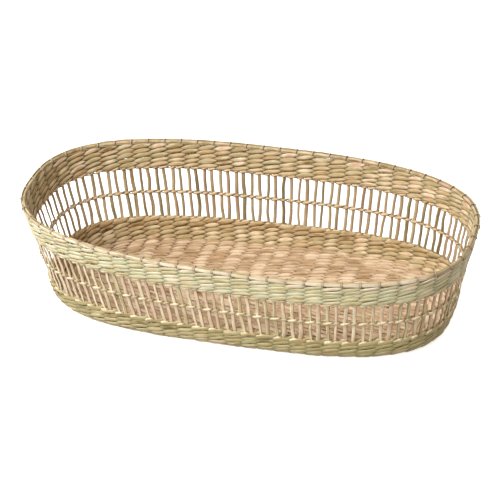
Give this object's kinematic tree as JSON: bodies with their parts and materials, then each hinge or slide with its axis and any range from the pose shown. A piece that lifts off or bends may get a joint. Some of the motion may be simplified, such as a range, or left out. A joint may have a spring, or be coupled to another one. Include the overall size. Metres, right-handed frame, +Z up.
{
  "type": "oval woven basket",
  "caption": "Shallow oval seagrass basket: woven base, bare paired stakes between a lower and an upper woven band, twined cords and a lashed cane rim.",
  "frame": {"origin": "centre of the overall box in plan, at ground level: the underside of the base mat", "axes": "+Z up, out of the basket's mouth; +X along the basket towards the broader end, where the rim is lowest; +Y across it"},
  "size_m": [0.541, 0.2759, 0.1354],
  "materials": {
    "green_seagrass": "dried seagrass strand, pale green to cream, satin along the fibre",
    "olive_seagrass": "dried seagrass strand, olive to straw, satin along the fibre",
    "pink_seagrass": "dried seagrass strand, pinkish tan, dull satin",
    "pale_cane": "split cane, pale cream, satin",
    "stake_cane": "dried stem, cream to tan with pink and green streaks, satin"
  },
  "bodies": {
    "root": {"base_mat": "pink_seagrass", "cross_rib_stakes_01": "stake_cane", "cross_rib_stakes_02": "stake_cane", "cross_rib_stakes_03": "stake_cane", "cross_rib_stakes_04": "stake_cane", "cross_rib_stakes_05": "stake_cane", "cross_rib_stakes_06": "stake_cane", "cross_rib_stakes_07": "stake_cane", "cross_rib_stakes_08": "stake_cane", "cross_rib_stakes_09": "stake_cane", "cross_rib_stakes_10": "stake_cane", "cross_rib_stakes_11": "stake_cane", "cross_rib_stakes_12": "stake_cane", "cross_rib_stakes_13": "stake_cane", "cross_rib_stakes_14": "stake_cane", "cross_rib_stakes_15": "stake_cane", "cross_rib_stakes_16": "stake_cane", "cross_rib_stakes_17": "stake_cane", "cross_rib_stakes_18": "stake_cane", "cross_rib_stakes_19": "stake_cane", "cross_rib_stakes_20": "stake_cane", "long_rib_stakes_01": "stake_cane", "long_rib_stakes_02": "stake_cane", "long_rib_stakes_03": "stake_cane", "long_rib_stakes_04": "stake_cane", "long_rib_stakes_05": "stake_cane", "long_rib_stakes_06": "stake_cane", "long_rib_stakes_07": "stake_cane", "long_rib_stakes_08": "stake_cane", "long_rib_stakes_09": "stake_cane", "long_rib_stakes_10": "stake_cane", "long_rib_stakes_11": "stake_cane", "long_rib_stakes_12": "stake_cane", "lower_weaver_1": "olive_seagrass", "lower_weaver_2": "olive_seagrass", "lower_weaver_3": "olive_seagrass", "lower_weaver_4": "olive_seagrass", "lower_weaver_5": "olive_seagrass", "upper_weaver_1": "green_seagrass", "upper_weaver_2": "green_seagrass", "upper_weaver_3": "green_seagrass", "upper_weaver_4": "green_seagrass", "upper_weaver_5": "green_seagrass", "lower_twine_outer": "pale_cane", "lower_twine_inner": "pale_cane", "middle_twine_outer": "pale_cane", "middle_twine_inner": "pale_cane", "upper_twine_outer": "pale_cane", "upper_twine_inner": "pale_cane", "rim_hoop": "pale_cane", "rim_lashing": "pale_cane"}
  },
  "joints": []
}
